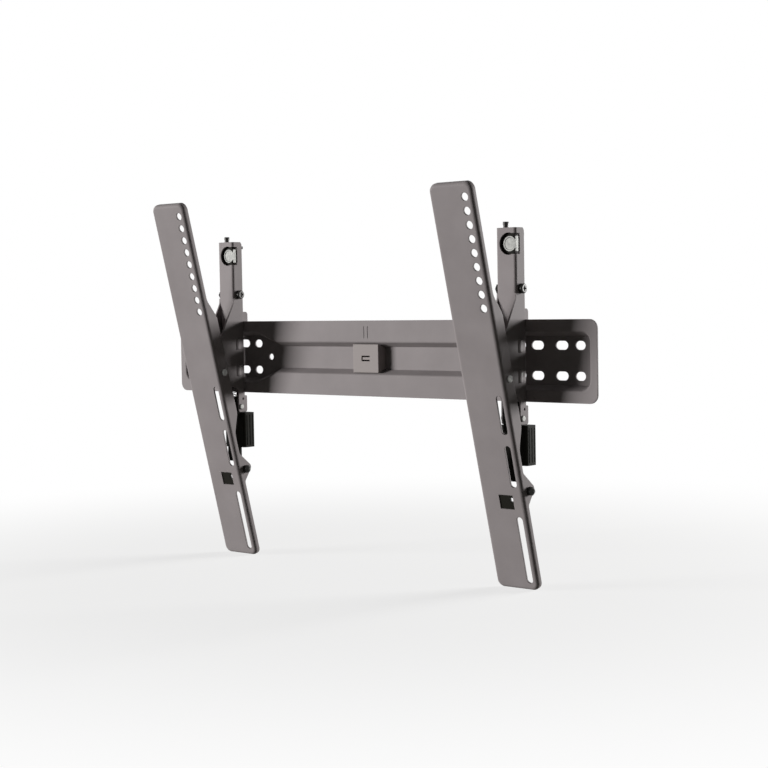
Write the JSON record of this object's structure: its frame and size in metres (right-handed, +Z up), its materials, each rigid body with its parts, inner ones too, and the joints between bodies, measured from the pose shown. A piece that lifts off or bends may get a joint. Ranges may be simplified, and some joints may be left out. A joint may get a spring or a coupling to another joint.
{
  "type": "tilting screen wall mount",
  "caption": "Pressed wall plate with hook arms that slide along it, level and lock, and carry tilting brackets with screw holes and slots for a flat screen.",
  "frame": {"origin": "middle of the wall plate, on the wall", "axes": "+X to the right along the wall plate seen from the room, +Y into the wall, +Z up"},
  "size_m": [0.65, 0.1239, 0.4438],
  "materials": {
    "powder_coat": "fine satin powder coat, dark warm grey",
    "block_plastic": "satin moulded plastic, dark warm grey",
    "zinc_plate": "bright zinc plating",
    "black_steel": "black oxide",
    "black_plastic": "fine moulded grain, black",
    "nylon": "plain moulded nylon",
    "spring_steel": "drawn spring wire and plain turned steel"
  },
  "bodies": {
    "plate": {"wall_plate": "powder_coat", "level_block": "block_plastic"},
    "carriage_left": {"hook_carriage_left": "powder_coat", "level_plate_left": "zinc_plate"},
    "arm_left": {"hook_arm_left": "powder_coat", "lock_nut_left": "black_steel", "pivot_pin_left": "zinc_plate", "pivot_sleeve_left": "spring_steel", "pivot_washer_left": "nylon", "pivot_spacer_left": "spring_steel", "latch_pin_left": "zinc_plate", "spring_pin_left": "spring_steel", "latch_spring_left": "spring_steel"},
    "bracket_left": {"tv_bracket_left": "powder_coat", "hole_insert_left": "black_plastic"},
    "screw_left": {"level_screw_left": "black_steel"},
    "lock_left": {"lock_bolt_left": "black_steel"},
    "lug_left": {"lug_screw_left": "black_steel"},
    "latch_left": {"release_latch_left": "black_plastic"},
    "carriage_right": {"hook_carriage_right": "powder_coat", "level_plate_right": "zinc_plate"},
    "arm_right": {"hook_arm_right": "powder_coat", "lock_nut_right": "black_steel", "pivot_pin_right": "zinc_plate", "pivot_sleeve_right": "spring_steel", "pivot_washer_right": "nylon", "pivot_spacer_right": "spring_steel", "latch_pin_right": "zinc_plate", "spring_pin_right": "spring_steel", "latch_spring_right": "spring_steel"},
    "bracket_right": {"tv_bracket_right": "powder_coat", "hole_insert_right": "black_plastic"},
    "screw_right": {"level_screw_right": "black_steel"},
    "lock_right": {"lock_bolt_right": "black_steel"},
    "lug_right": {"lug_screw_right": "black_steel"},
    "latch_right": {"release_latch_right": "black_plastic"}
  },
  "joints": [
    {"name": "slide_left", "type": "slide", "parent": "plate", "child": "carriage_left", "axis": [1, 0, 0], "range_m": [-0.08, 0.15]},
    {"name": "level_left", "type": "slide", "parent": "carriage_left", "child": "arm_left", "axis": [0, 0, 1], "range_m": [-0.003, 0.003]},
    {"name": "tilt_left", "type": "hinge", "parent": "arm_left", "child": "bracket_left", "pos_m": [-0.2195, -0.06035, -0.0175], "axis": [1, 0, 0], "range_deg": [-14.4, 0]},
    {"name": "screw_turn_left", "type": "hinge", "parent": "arm_left", "child": "screw_left", "pos_m": [-0.2255, -0.0216, 0.145], "axis": [0, 0, 1], "range_deg": [-1351, 1351]},
    {"name": "lock_turn_left", "type": "hinge", "parent": "arm_left", "child": "lock_left", "pos_m": [-0.2195, -0.021, 0.0788], "axis": [1, 0, 0], "range_deg": [0, 180]},
    {"name": "lug_turn_left", "type": "hinge", "parent": "bracket_left", "child": "lug_left", "pos_m": [-0.2195, -0.02712, -0.14091], "axis": [1, 0, 0], "range_deg": [0, 180]},
    {"name": "latch_pull_left", "type": "slide", "parent": "arm_left", "child": "latch_left", "axis": [0, 0, -1], "range_m": [0, 0.0075], "stiffness_N_per_m": 500, "springref_m": -0.01, "deforming": ["latch_spring_left"]},
    {"name": "slide_right", "type": "slide", "parent": "plate", "child": "carriage_right", "axis": [1, 0, 0], "range_m": [-0.15, 0.08]},
    {"name": "level_right", "type": "slide", "parent": "carriage_right", "child": "arm_right", "axis": [0, 0, 1], "range_m": [-0.003, 0.003]},
    {"name": "tilt_right", "type": "hinge", "parent": "arm_right", "child": "bracket_right", "pos_m": [0.2195, -0.06035, -0.0175], "axis": [1, 0, 0], "range_deg": [-14.4, 0]},
    {"name": "screw_turn_right", "type": "hinge", "parent": "arm_right", "child": "screw_right", "pos_m": [0.2135, -0.0216, 0.145], "axis": [0, 0, 1], "range_deg": [-1351, 1351]},
    {"name": "lock_turn_right", "type": "hinge", "parent": "arm_right", "child": "lock_right", "pos_m": [0.2195, -0.021, 0.0788], "axis": [1, 0, 0], "range_deg": [0, 180]},
    {"name": "lug_turn_right", "type": "hinge", "parent": "bracket_right", "child": "lug_right", "pos_m": [0.2195, -0.02712, -0.14091], "axis": [1, 0, 0], "range_deg": [0, 180]},
    {"name": "latch_pull_right", "type": "slide", "parent": "arm_right", "child": "latch_right", "axis": [0, 0, -1], "range_m": [0, 0.0075], "stiffness_N_per_m": 500, "springref_m": -0.01, "deforming": ["latch_spring_right"]}
  ],
  "couplings": [
    {"joint": "screw_turn_left", "follows": "level_left", "rad_per_m": 7854},
    {"joint": "screw_turn_right", "follows": "level_right", "rad_per_m": 7854}
  ]
}
